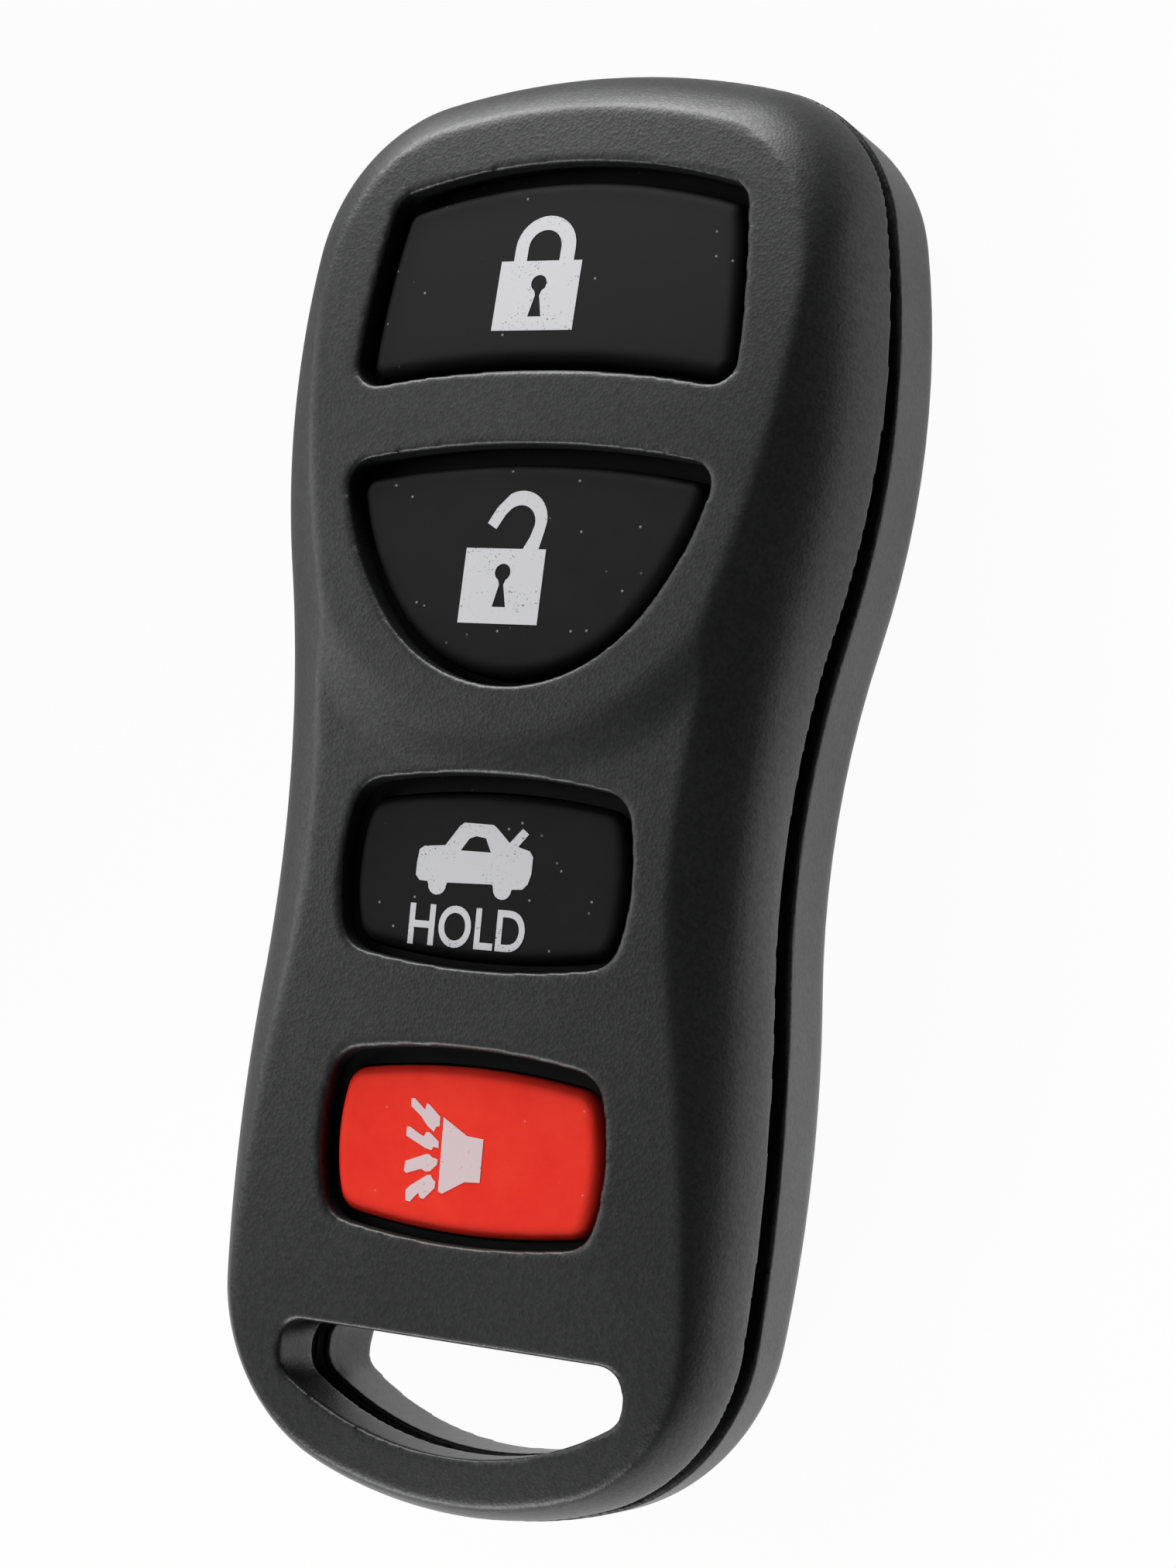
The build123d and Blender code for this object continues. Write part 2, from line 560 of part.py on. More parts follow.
# Tactile switches: a moulded housing with a stepped well, a steel dome and a stem
for name, y in SWITCH_Y.items():
    with BuildPart() as housing:
        with BuildSketch(Plane.XY.offset(BOARD_TOP)):
            with Locations((0, y)):
                Rectangle(SWITCH_WIDTH, SWITCH_DEPTH)
        extrude(amount=SWITCH_HEIGHT)
        fillet(housing.edges().filter_by(Axis.Z), radius=SWITCH_HEIGHT / 3)
        with BuildSketch(Plane.XY.offset(BOARD_TOP + WELL_FOOT)):
            with Locations((0, y)):
                Circle(WELL_RADIUS)
        extrude(amount=WELL_TOP - WELL_FOOT, mode=Mode.SUBTRACT)
        with BuildSketch(Plane.XY.offset(BOARD_TOP + WELL_TOP)):
            with Locations((0, y)):
                Circle(STEM_RADIUS + STEM_GAP)
        extrude(amount=SWITCH_HEIGHT, mode=Mode.SUBTRACT)
    save(housing, f"{name}_switch_housing")
    with BuildPart() as stem:
        with BuildSketch(Plane.XY.offset(BOARD_TOP + STEM_FOOT_RISE)):
            with Locations((0, y)):
                Circle(STEM_RADIUS)
        extrude(amount=SWITCH_HEIGHT + STEM_PROUD - STEM_FOOT_RISE)
        fillet(stem.edges().sort_by(Axis.Z)[-1], radius=STEM_RADIUS / 5)
    save(stem, f"{name}_switch_stem")

# The four steel domes, one in the foot of each well, each with a vent in its crown
dome_reach = WELL_RADIUS - STEM_GAP
dome_foot = BOARD_TOP + WELL_FOOT
with BuildPart() as switch_domes:
    for y in SWITCH_Y.values():
        with BuildSketch(Plane.XZ.offset(-y)):
            with BuildLine():
                crest, rim = (DOME_VENT, dome_foot + DOME_RISE), (dome_reach, dome_foot)
                middle = (dome_reach / 2, dome_foot + DOME_RISE * 0.75)
                ThreePointArc(crest, middle, rim)
                Line(rim, (rim[0], rim[1] + DOME_SHEET))
                top_middle = (middle[0], middle[1] + DOME_SHEET)
                top_crest = (crest[0], crest[1] + DOME_SHEET)
                ThreePointArc((rim[0], rim[1] + DOME_SHEET), top_middle, top_crest)
                Line(top_crest, crest)
            make_face()
        revolve(axis=Axis((0, y, 0), (0, 0, 1)))
save(switch_domes, "switch_domes")

# Coin cell: a can with a stepped lid that faces the board
with BuildPart() as coin_cell:
    with BuildSketch(Plane.XY.offset(CELL_FOOT)):
        with Locations((0, CELL_Y)):
            Circle(CELL_RADIUS)
    extrude(amount=CELL_HEIGHT * 0.8)
    fillet(coin_cell.edges(), radius=CELL_HEIGHT * 0.1)
    with BuildSketch(Plane.XY.offset(CELL_FOOT + CELL_HEIGHT * 0.8)):
        with Locations((0, CELL_Y)):
            Circle(CELL_RADIUS * 0.88)
    extrude(amount=CELL_HEIGHT * 0.2)
save(coin_cell, "coin_cell")

# Positive clip: a strap under the cell, with a leg up to the board on each side
clip_reach = CELL_RADIUS + CLIP_GAP
clip_foot = CELL_FOOT - CLIP_SHEET - SEAT_GAP
with BuildPart() as battery_clip:
    with BuildSketch(Plane.XZ.offset(-CELL_Y)):
        with BuildLine():
            Polyline(
                (-clip_reach - CLIP_SHEET, board_foot),
                (-clip_reach - CLIP_SHEET, clip_foot),
                (clip_reach + CLIP_SHEET, clip_foot),
                (clip_reach + CLIP_SHEET, board_foot),
                (clip_reach, board_foot),
                (clip_reach, clip_foot + CLIP_SHEET),
                (-clip_reach, clip_foot + CLIP_SHEET),
                (-clip_reach, board_foot),
                close=True,
            )
        make_face()
    extrude(amount=CLIP_WIDTH / 2, both=True)
save(battery_clip, "battery_clip")

# Negative leaf: a foot on the board and a sprung tongue down to the cell
cell_top = CELL_FOOT + CELL_HEIGHT
leaf_tip = cell_top + SEAT_GAP
with BuildPart() as battery_leaf:
    with BuildSketch(Plane.XZ.offset(-CELL_Y)):
        with BuildLine():
            Polyline(
                (-LEAF_REACH, board_foot),
                (0, board_foot),
                (LEAF_REACH, leaf_tip + LEAF_SHEET),
                (LEAF_REACH + 1, leaf_tip + LEAF_SHEET),
                (LEAF_REACH + 1, leaf_tip),
                (LEAF_REACH - LEAF_SHEET / 4, leaf_tip),
                (-LEAF_SHEET / 4, board_foot - LEAF_SHEET),
                (-LEAF_REACH, board_foot - LEAF_SHEET),
                close=True,
            )
        make_face()
    extrude(amount=LEAF_WIDTH / 2, both=True)
save(battery_leaf, "battery_leaf")

# Controller chip under the board, with its two rows of legs
with BuildPart() as controller_chip:
    body_x, body_y, body_z = CHIP_SIZE
    leg_x, leg_y, leg_z = CHIP_LEG
    with BuildSketch(Plane.XY.offset(board_foot - body_z)):
        with Locations(CHIP_PLACE):
            Rectangle(body_x - 2 * leg_x, body_y)
    extrude(amount=body_z - leg_z / 2)
    with BuildSketch(Plane.XY.offset(board_foot - leg_z)):
        with Locations(CHIP_PLACE):
            for side in (-1, 1):
                with Locations((side * (body_x - leg_x) / 2, 0)):
                    with GridLocations(1, CHIP_LEG_PITCH, 1, CHIP_LEG_COUNT):
                        Rectangle(leg_x + leg_z, leg_y)
    extrude(amount=leg_z)
save(controller_chip, "controller_chip")

# Crystal can under the board
with BuildPart() as crystal_can:
    with BuildSketch(Plane.XY.offset(board_foot - CAN_HEIGHT)):
        with Locations(CAN_PLACE):
            SlotOverall(2 * (CAN_HALF_LENGTH + CAN_RADIUS), 2 * CAN_RADIUS)
    extrude(amount=CAN_HEIGHT)
    fillet(crystal_can.faces().sort_by(Axis.Z)[0].edges(), radius=CAN_RADIUS / 5)
save(crystal_can, "crystal_can")

# Radio filter on top of the board
with BuildPart() as radio_filter:
    with BuildSketch(Plane.XY.offset(BOARD_TOP)):
        with Locations(FILTER_PLACE):
            Rectangle(FILTER_SIZE[0], FILTER_SIZE[1])
    extrude(amount=FILTER_SIZE[2])
    chamfer(radio_filter.faces().sort_by(Axis.Z)[-1].edges(), length=FILTER_SIZE[2] / 8)
save(radio_filter, "radio_filter")

# Chip resistors and capacitors, a group of each
for name, size, places in (
    ("chip_resistors", RESISTOR_SIZE, RESISTOR_PLACES),
    ("chip_capacitors", CAPACITOR_SIZE, CAPACITOR_PLACES),
):
    with BuildPart() as group:
        with BuildSketch(Plane.XY.offset(BOARD_TOP)):
            with Locations(*places):
                Rectangle(size[0], size[1])
        extrude(amount=size[2])
    save(group, name)

# Antenna: a flat loop of copper round the tail of the board
with BuildPart() as antenna_loop:
    with BuildSketch(Plane.XY.offset(BOARD_TOP)):
        add(grown(board_plan, -ANTENNA_EDGE))
        add(grown(board_plan, -ANTENNA_EDGE - ANTENNA_WIDTH), mode=Mode.SUBTRACT)
        with Locations((0, ANTENNA_TOP_Y + REACH / 2)):
            Rectangle(REACH, REACH, mode=Mode.SUBTRACT)
    extrude(amount=ANTENNA_SHEET)
save(antenna_loop, "antenna_loop")
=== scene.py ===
from math import cos, radians, sin, sqrt

import bmesh
import bpy
from mathutils import Matrix, Vector
from mathutils.bvhtree import BVHTree


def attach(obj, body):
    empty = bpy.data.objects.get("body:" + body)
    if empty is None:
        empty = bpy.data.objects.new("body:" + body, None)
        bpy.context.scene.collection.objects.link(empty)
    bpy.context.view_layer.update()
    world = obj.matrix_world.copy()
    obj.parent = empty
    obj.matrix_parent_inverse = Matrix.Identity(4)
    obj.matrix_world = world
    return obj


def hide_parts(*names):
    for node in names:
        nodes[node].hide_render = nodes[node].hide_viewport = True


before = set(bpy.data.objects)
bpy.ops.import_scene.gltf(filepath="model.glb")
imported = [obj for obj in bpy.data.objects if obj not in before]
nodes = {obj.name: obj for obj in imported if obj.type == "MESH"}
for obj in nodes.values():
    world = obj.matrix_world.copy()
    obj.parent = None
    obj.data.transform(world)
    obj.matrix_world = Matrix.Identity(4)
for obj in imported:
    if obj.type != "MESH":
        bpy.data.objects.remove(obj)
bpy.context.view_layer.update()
scene = bpy.context.scene
MM = 0.001
KEYS = ("lock", "unlock", "trunk", "panic")

# Sizes that the looks share with the solids, in millimetres
FACE_TOP = 13.0
ARCH_RADIUS = 252.25
ARCH_Y = -0.78
CAP_SINK = 0.6
SHIELD_RISE = 0.5

# The crease round the face lies less than this under the arch, in millimetres
CREASE_DROP = 2.2
# Half width, foot and head of the zones that the extra rounding of the crease keeps out of, in
# millimetres: the lock opening, the unlock opening, the trunk and panic openings, and the key ring slot
LIP_ZONES = ((11.2, 17.6, 31.4), (10.8, 3.0, 17.6), (8.3, -23.6, 0.6), (10.2, -34.0, -26.4))

# A printed film stands out of its cap by the first size and reaches into it by the second, in millimetres
PRINT_FILM = 0.02
PRINT_DEPTH = 0.15
# Longer edges of a film are cut in three, so that it follows the arch, in millimetres
LONGEST_EDGE = 1.5

# Sockets of a colour mix: its two colours and its result
MIX_FIRST = 6
MIX_SECOND = 7
MIX_RESULT = 2


# Camera, fitted to the photograph: the directions of its axes, and its place in millimetres
camera_data = bpy.data.cameras.new("photo_camera")
camera_data.sensor_fit = "VERTICAL"
camera_data.sensor_height = 36.0
camera_data.lens = 71.11
camera_data.clip_start = 0.01
camera = bpy.data.objects.new("photo_camera", camera_data)
scene.collection.objects.link(camera)
right = Vector((0.88868, 0.104365, -0.446492))
up = Vector((-0.054481, 0.990888, 0.123177))
back = Vector((0.455279, -0.0851396, 0.886269))
turn = Matrix((right, up, back)).transposed().to_4x4()
camera.matrix_world = Matrix.Translation(Vector((71.898, -12.953, 142.348)) * MM) @ turn
scene.camera = camera


# Materials
def linear(hex_code):
    """A #rrggbb colour as linear numbers with alpha."""
    out = []
    for k in (1, 3, 5):
        share = int(hex_code[k:k + 2], 16) / 255
        out.append(share / 12.92 if share <= 0.04045 else ((share + 0.055) / 1.055) ** 2.4)
    return (*out, 1.0)


def plug(tree, node, links):
    """Links the sockets of other nodes into the inputs of a node."""
    for name, source in links.items():
        tree.links.new(source, node.inputs[name])


def add_node(tree, kind, links=None, **settings):
    """Adds a node. Settings go to its sockets by name, or else to its own fields. Links come from
    other sockets."""
    node = tree.nodes.new(kind)
    for name, value in settings.items():
        plain = name.replace("_", " ").title()
        if plain in node.inputs:
            node.inputs[plain].default_value = value
        else:
            setattr(node, name, value)
    plug(tree, node, links or {})
    return node


def new_material(name):
    """A material with its principled shader, and the object coordinates that its patterns read."""
    material = bpy.data.materials.new(name)
    material.use_nodes = True
    tree = material.node_tree
    tree.nodes.clear()
    place = add_node(tree, "ShaderNodeTexCoord").outputs["Object"]
    shader = add_node(tree, "ShaderNodeBsdfPrincipled")
    add_node(tree, "ShaderNodeOutputMaterial", {"Surface": shader.outputs["BSDF"]})
    return material, tree, place, shader


def noise(tree, place, size_mm, detail, **settings):
    """A cloudy pattern with blots of about the given size."""
    links = {"Vector": place}
    node = add_node(tree, "ShaderNodeTexNoise", links, scale=1 / (size_mm * MM), detail=detail, **settings)
    return node.outputs["Fac"]


def cells(tree, place, size_mm, **settings):
    """A pattern of round cells of about the given size."""
    return add_node(tree, "ShaderNodeTexVoronoi", {"Vector": place}, scale=1 / (size_mm * MM), **settings)


def maths(tree, operation, first, second, **settings):
    """The result of a maths node. The second value is a number or another socket."""
    node = add_node(tree, "ShaderNodeMath", {0: first}, operation=operation, **settings)
    if isinstance(second, float):
        node.inputs[1].default_value = second
    else:
        tree.links.new(second, node.inputs[1])
    return node.outputs["Value"]


def shade_between(tree, factor, low, high):
    """A colour between two others, each of them a hex colour or another socket."""
    mix = add_node(tree, "ShaderNodeMix", {"Factor": factor}, data_type="RGBA")
    for socket, colour in ((mix.inputs[MIX_FIRST], low), (mix.inputs[MIX_SECOND], high)):
        if isinstance(colour, str):
            socket.default_value = linear(colour)
        else:
            tree.links.new(colour, socket)
    return mix.outputs[MIX_RESULT]


def stretched(tree, factor, low, high, to_low, to_high):
    """A pattern's value moved from one range to another."""
    ranges = {"from_min": low, "from_max": high, "to_min": to_low, "to_max": to_high}
    return add_node(tree, "ShaderNodeMapRange", {"Value": factor}, **ranges).outputs["Result"]


def bumped(tree, height, strength, depth_mm):
    """Normals that follow a pattern's height."""
    node = add_node(tree, "ShaderNodeBump", {"Height": height}, strength=strength, distance=depth_mm * MM)
    return node.outputs["Normal"]


def moulded_abs(name, dark, light, grain_mm, depth_mm, rough_low, rough_high):
    """Black ABS from a spark-eroded mould: small round grains, each with its own sheen, that sparkle in a
    highlight. The real grains are about 0.05 mm wide. They are drawn wider, so that they still show from
    the photo's distance."""
    material, tree, place, shader = new_material(name)
    grains = cells(tree, place, grain_mm)
    cloud = noise(tree, place, 9.0, detail=2.0)
    tone = maths(tree, "MULTIPLY", grains.outputs["Color"], cloud)
    # Painted shade: the sheen is turned down where the skin is closed in, in the narrow seam, the wells and
    # the slot, where light dies
    painted_shade_occlusion = add_node(tree, "ShaderNodeAmbientOcclusion", samples=8, only_local=True, distance=2.5 * MM)
    sheen = stretched(tree, painted_shade_occlusion.outputs["AO"], 0.45, 0.9, 0.04, 0.5)
    sparkle = stretched(tree, grains.outputs["Color"], 0.2, 0.8, 0.88, 1.12)
    plug(tree, shader, {
        "Base Color": shade_between(tree, stretched(tree, tone, 0.1, 0.4, 0.0, 1.0), dark, light),
        "Specular IOR Level": maths(tree, "MULTIPLY", sheen, sparkle),
        "Roughness": stretched(tree, cloud, 0.3, 0.7, rough_low, rough_high),
        "Normal": bumped(tree, grains.outputs["Distance"], 1.0, depth_mm),
    })
    shader.inputs["IOR"].default_value = 1.54
    return material


def silicone(name, dark, light, dust):
    """Moulded silicone rubber: matt, a little cloudy, with the odd speck of dust that it holds."""
    material, tree, place, shader = new_material(name)
    cloud = noise(tree, place, 2.5, detail=7.0, roughness=0.7)
    fine = noise(tree, place, 0.12, detail=2.0)
    rubber = shade_between(tree, stretched(tree, cloud, 0.3, 0.7, 0.0, 1.0), dark, light)
    # A speck lies in the middle of a few cells, picked by chance
    spots = cells(tree, place, 1.3, voronoi_dimensions="2D")
    chance = add_node(tree, "ShaderNodeTexWhiteNoise", {"Vector": spots.outputs["Position"]})
    near = stretched(tree, spots.outputs["Distance"], 0.025, 0.06, 1.0, 0.0)
    rare = stretched(tree, chance.outputs["Value"], 0.78, 0.9, 0.0, 0.8)
    plug(tree, shader, {
        "Base Color": shade_between(tree, maths(tree, "MULTIPLY", near, rare), rubber, dust),
        "Roughness": stretched(tree, cloud, 0.3, 0.7, 0.62, 0.74),
        "Normal": bumped(tree, fine, 0.3, 0.01),
    })
    shader.inputs["IOR"].default_value = 1.41
    shader.inputs["Specular IOR Level"].default_value = 0.22
    return material


def pad_print(name, ink, under):
    """Pad-printed ink: an even white film with pinholes where the rubber shows through."""
    material, tree, place, shader = new_material(name)
    fine = noise(tree, place, 0.11, detail=1.0)
    patch = noise(tree, place, 1.1, detail=1.0)
    holes = stretched(tree, fine, 0.66, 0.70, 0.0, 1.0)
    where = stretched(tree, patch, 0.45, 0.6, 0.0, 0.8)
    plug(tree, shader, {
        "Base Color": shade_between(tree, maths(tree, "MULTIPLY", holes, where), ink, under),
        "Roughness": stretched(tree, patch, 0.3, 0.7, 0.5, 0.65),
    })
    return material


def rolled_metal(name, dark, light, rough, along):
    """Rolled and stamped sheet metal: fine lines along the strip and a soft sheen."""
    material, tree, place, shader = new_material(name)
    mapping = add_node(tree, "ShaderNodeMapping", {"Vector": place})
    mapping.inputs["Scale"].default_value = (30.0, 1.0, 1.0) if along == "y" else (1.0, 30.0, 1.0)
    lines = noise(tree, mapping.outputs["Vector"], 3.0, detail=3.0)
    plug(tree, shader, {
        "Base Color": shade_between(tree, lines, dark, light),
        "Roughness": stretched(tree, lines, 0.3, 0.7, rough, rough + 0.12),
    })
    shader.inputs["Metallic"].default_value = 1.0
    return material


def cast_body(name, dark, light, rough, grain_mm):
    """Small soldered bodies: moulded epoxy, ceramic or solder mask, with a fine speckle."""
    material, tree, place, shader = new_material(name)
    speckle = noise(tree, place, grain_mm, detail=3.0)
    plug(tree, shader, {
        "Base Color": shade_between(tree, stretched(tree, speckle, 0.35, 0.65, 0.0, 1.0), dark, light),
        "Roughness": stretched(tree, speckle, 0.3, 0.7, rough, rough + 0.1),
    })
    return material


front_abs = moulded_abs(
    "front_moulded_abs", "#0D0E0E", "#121315",
    grain_mm=0.16, depth_mm=0.008, rough_low=0.42, rough_high=0.48)
rear_abs = moulded_abs(
    "rear_moulded_abs", "#0E0F10", "#131416",
    grain_mm=0.16, depth_mm=0.005, rough_low=0.40, rough_high=0.46)
black_silicone = silicone("black_button_silicone", "#0A0A0B", "#151516", dust="#9A9A9C")
red_silicone = silicone("red_button_silicone", "#EE291C", "#F53927", dust="#F0705F")
web_silicone = silicone("keypad_web_silicone", "#0C0C0D", "#121213", dust="#3A3A3A")
white_ink = pad_print("white_pad_print", ink="#CACACD", under="#2A2A2C")
white_on_red = pad_print("white_pad_print_on_red", ink="#DEC8CB", under="#D83A2B")
contact_steel = rolled_metal("stamped_contact_steel", "#A9A7A0", "#CFCDC6", rough=0.25, along="y")
cell_steel = rolled_metal("coin_cell_steel", "#B4B4B0", "#D6D6D2", rough=0.22, along="x")
screw_steel = rolled_metal("blackened_screw_steel", "#2E2E30", "#4A4A4D", rough=0.35, along="x")
antenna_copper = rolled_metal("etched_copper", "#B06A3C", "#D08A58", rough=0.35, along="y")
board_mask = cast_body("green_solder_mask", "#0F4A26", "#1A6034", rough=0.3, grain_mm=0.4)
chip_epoxy = cast_body("black_chip_epoxy", "#161616", "#242424", rough=0.55, grain_mm=0.08)
switch_nylon = cast_body("black_switch_nylon", "#1C1C1D", "#2A2A2B", rough=0.5, grain_mm=0.1)
stem_nylon = cast_body("ivory_stem_nylon", "#CFC7B4", "#E2DCCB", rough=0.45, grain_mm=0.1)
fired_ceramic = cast_body("tan_fired_ceramic", "#9A7650", "#B48E64", rough=0.5, grain_mm=0.1)


def dress(mesh, material):
    """Gives a mesh its one material."""
    mesh.materials.clear()
    mesh.materials.append(material)


for key in KEYS:
    dress(nodes[f"{key}_switch_housing"].data, switch_nylon)
    dress(nodes[f"{key}_switch_stem"].data, stem_nylon)
for node_name, material in (
    ("case_screw", screw_steel),
    ("keypad_web", web_silicone),
    ("switch_domes", contact_steel),
    ("circuit_board", board_mask),
    ("coin_cell", cell_steel),
    ("battery_clip", contact_steel),
    ("battery_leaf", contact_steel),
    ("controller_chip", chip_epoxy),
    ("crystal_can", contact_steel),
    ("radio_filter", contact_steel),
    ("chip_resistors", chip_epoxy),
    ("chip_capacitors", fired_ceramic),
    ("antenna_loop", antenna_copper),
):
    dress(nodes[node_name].data, material)


# Pieces
def link_piece(name, mesh, material):
    """Puts a finished mesh in the scene under its name."""
    piece = bpy.data.objects.new(name, mesh)
    scene.collection.objects.link(piece)
    dress(mesh, material)
    return piece


def applied(piece):
    """The mesh of a piece as its modifiers leave it. The modifiers are then taken off."""
    evaluated = piece.evaluated_get(bpy.context.evaluated_depsgraph_get())
    mesh = bpy.data.meshes.new_from_object(evaluated)
    piece.modifiers.clear()
    return mesh


def ease(skin, verts, passes):
    """Moves points towards the middle of their neighbours, which rounds edges a little more each pass."""
    for _ in range(passes):
        bmesh.ops.smooth_vert(
            skin, verts=verts, factor=0.5, use_axis_x=True, use_axis_y=True, use_axis_z=True)


def face_z(y, drop):
    """Height of the arched face at y, lowered by drop, in metres."""
    fall = ARCH_RADIUS - sqrt(ARCH_RADIUS**2 - (y / MM - ARCH_Y) ** 2)
    return (FACE_TOP - fall - drop) * MM


def on_crease(place):
    """Whether a point of the front shell lies on its face or by the crease round it, clear of the lips."""
    if place.z < face_z(place.y, CREASE_DROP):
        return False
    x = abs(place.x) / MM
    y = place.y / MM
    return not any(x < half and low < y < high for half, low, high in LIP_ZONES)


def softened(source, name, material, voxel_mm, passes, keep, crease_passes=0, crisp_mm=(0.0, 0.0)):
    """A copy of a CAD node as one even skin, with its edges rounded as a mould leaves them. Between the
    two heights of crisp_mm, where the shells meet, it is laid back on the solid, so its edges stay
    tighter there. The share keep of its triangles is left."""
    mesh = nodes[source].data.copy()
    skin = bmesh.new()
    skin.from_mesh(mesh)
    bmesh.ops.remove_doubles(skin, verts=skin.verts, dist=0.002 * MM)
    solid = BVHTree.FromBMesh(skin)
    skin.to_mesh(mesh)
    skin.free()
    piece = link_piece(name, mesh, material)
    remesh = piece.modifiers.new("even_skin", "REMESH")
    remesh.mode = "VOXEL"
    remesh.voxel_size = voxel_mm * MM
    remesh.use_smooth_shade = True
    even = applied(piece)
    skin = bmesh.new()
    skin.from_mesh(even)
    crisp = [v for v in skin.verts if crisp_mm[0] * MM < v.co.z < crisp_mm[1] * MM]
    held = set(crisp)
    ease(skin, [v for v in skin.verts if v not in held], passes)
    for v in crisp:
        v.co = solid.find_nearest(v.co)[0]
    ease(skin, crisp, 1)
    for v in crisp:
        v.co = v.co.lerp(solid.find_nearest(v.co)[0], 0.5)
    if crease_passes:
        ease(skin, [v for v in skin.verts if on_crease(v.co)], crease_passes)
    skin.to_mesh(even)
    skin.free()
    piece.data = even
    fewer = piece.modifiers.new("fewer_triangles", "DECIMATE")
    fewer.ratio = keep
    thinned = applied(piece)
    thinned.shade_smooth()
    thinned.name = name
    dress(thinned, material)
    piece.data = thinned
    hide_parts(source)
    return piece


front = softened(
    "front_shell", "front_case", front_abs,
    voxel_mm=0.14, passes=7, keep=0.29, crease_passes=8, crisp_mm=(6.0, 8.4))
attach(front, "case")
rear = softened(
    "rear_shell", "rear_case", rear_abs,
    voxel_mm=0.15, passes=6, keep=0.22, crisp_mm=(5.2, 9.0))
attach(rear, "case")
for key in KEYS:
    rubber = red_silicone if key == "panic" else black_silicone
    cap = softened(f"{key}_button", f"{key}_cap", rubber, voxel_mm=0.09, passes=5, keep=0.4)
    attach(cap, f"{key}_key")


# Printed symbols
def laid_film(name, film, drop, material):
    """Makes a flat outline a thin film that follows the arched face, lowered by drop in millimetres."""
    bmesh.ops.triangulate(film, faces=film.faces)
    upper = list(film.verts)
    grown = bmesh.ops.extrude_face_region(film, geom=film.faces[:])
    lower = [v for v in grown["geom"] if isinstance(v, bmesh.types.BMVert)]
    for v in upper:
        v.co.z = face_z(v.co.y, drop - PRINT_FILM)
    for v in lower:
        v.co.z = face_z(v.co.y, drop + PRINT_DEPTH)
    bmesh.ops.recalc_face_normals(film, faces=film.faces)
    for face in film.faces:
        face.smooth = False
    mesh = bpy.data.meshes.new(name)
    film.to_mesh(mesh)
    film.free()
    return link_piece(name, mesh, material)


def printed(name, outlines, drop, body, material):
    """A printed symbol on a button: outlines in millimetres, each a loop with its holes."""
    film = bmesh.new()
    for outline in outlines:
        edges = []
        for loop in outline:
            ring = [film.verts.new((x * MM, y * MM, 0.0)) for x, y in loop]
            edges += [film.edges.new((ring[k - 1], ring[k])) for k in range(len(ring))]
        bmesh.ops.triangle_fill(film, edges=edges, use_beauty=True, normal=(0, 0, 1))
    long_edges = [e for e in film.edges if e.calc_length() > LONGEST_EDGE * MM]
    bmesh.ops.subdivide_edges(film, edges=long_edges, cuts=2)
    piece = laid_film(name, film, drop, material)
    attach(piece, body)


def arc(x, y, radius, count, start, end):
    """Points along an arc, with its angles in degrees."""
    angles = [radians(start + (end - start) * k / (count - 1)) for k in range(count)]
    return [(x + radius * cos(angle), y + radius * sin(angle)) for angle in angles]


def keyhole(x, y):
    """A round hole over a flared foot, as one loop."""
    foot = [(x - 0.12, y - 0.62), (x - 0.37, y - 1.72), (x + 0.37, y - 1.72), (x + 0.12, y - 0.62)]
    return arc(x, y, 0.43, 16, -62, 242) + foot


# Closed padlock: a body with a keyhole, and a bow whose feet stand on it
lock_foot = 21.82
lock_head = 25.42
lock_body = [(-3.38, lock_foot), (1.12, lock_foot), (1.12, lock_head), (-3.38, lock_head)]
lock_bow = [(-2.7, lock_head)] + arc(-1.03, 26.1, 1.67, 17, 180, 0)
lock_bow += [(0.64, lock_head), (-0.16, lock_head)]
lock_bow += arc(-1.07, 26.12, 0.91, 13, 0, 180) + [(-1.98, lock_head)]
lock_outlines = [[lock_body, keyhole(-1.1, 24.25)], [lock_bow]]
printed("lock_symbol", lock_outlines, CAP_SINK, "lock_key", white_ink)

# Open padlock: the bow has lifted and turned away from its left foot
open_foot = 7.05
open_head = 10.78
open_lock = [(-2.97, open_foot), (1.42, open_foot), (1.42, open_head), (1.0, open_head), (1.2, 11.66)]
open_lock += arc(-0.2, 12.2, 1.48, 13, -2, 118) + [(-1.53, 12.84), (-1.98, 12.04)]
open_lock += [(-1.46, 11.74), (-1.06, 12.44)] + arc(-0.22, 12.1, 0.86, 11, 130, -8)
open_lock += [(0.46, 11.39), (0.14, open_head), (-2.97, open_head)]
printed("unlock_symbol", [[open_lock, keyhole(-0.8, 9.6)]], CAP_SINK, "unlock_key", white_ink)

# Car with its boot lid up, side on
car = [(-3.98, -4.75), (-3.9, -4.1), (-3.65, -3.92), (-2.5, -3.82), (-1.8, -2.85), (-1.55, -2.66)]
car += [(0.05, -2.68), (0.3, -2.85), (1.02, -3.5), (1.66, -2.76), (2.02, -3.02), (1.5, -3.66)]
car += [(2.15, -3.82), (2.36, -4.1), (2.36, -4.9), (2.22, -5.4), (1.95, -5.68), (1.42, -5.72)]
car += arc(0.86, -5.75, 0.5, 9, 0, -180) + [(0.3, -5.55), (-2.2, -5.62)]
car += arc(-2.74, -5.75, 0.5, 9, 0, -180) + [(-3.3, -5.62), (-3.75, -5.6), (-3.98, -5.35)]
glass = [(-1.62, -4.02), (-1.2, -3.42), (-0.85, -3.28), (-0.3, -3.35), (0.05, -4.02)]
printed("trunk_symbol", [[car, glass]], CAP_SINK + SHIELD_RISE, "trunk_key", white_ink)

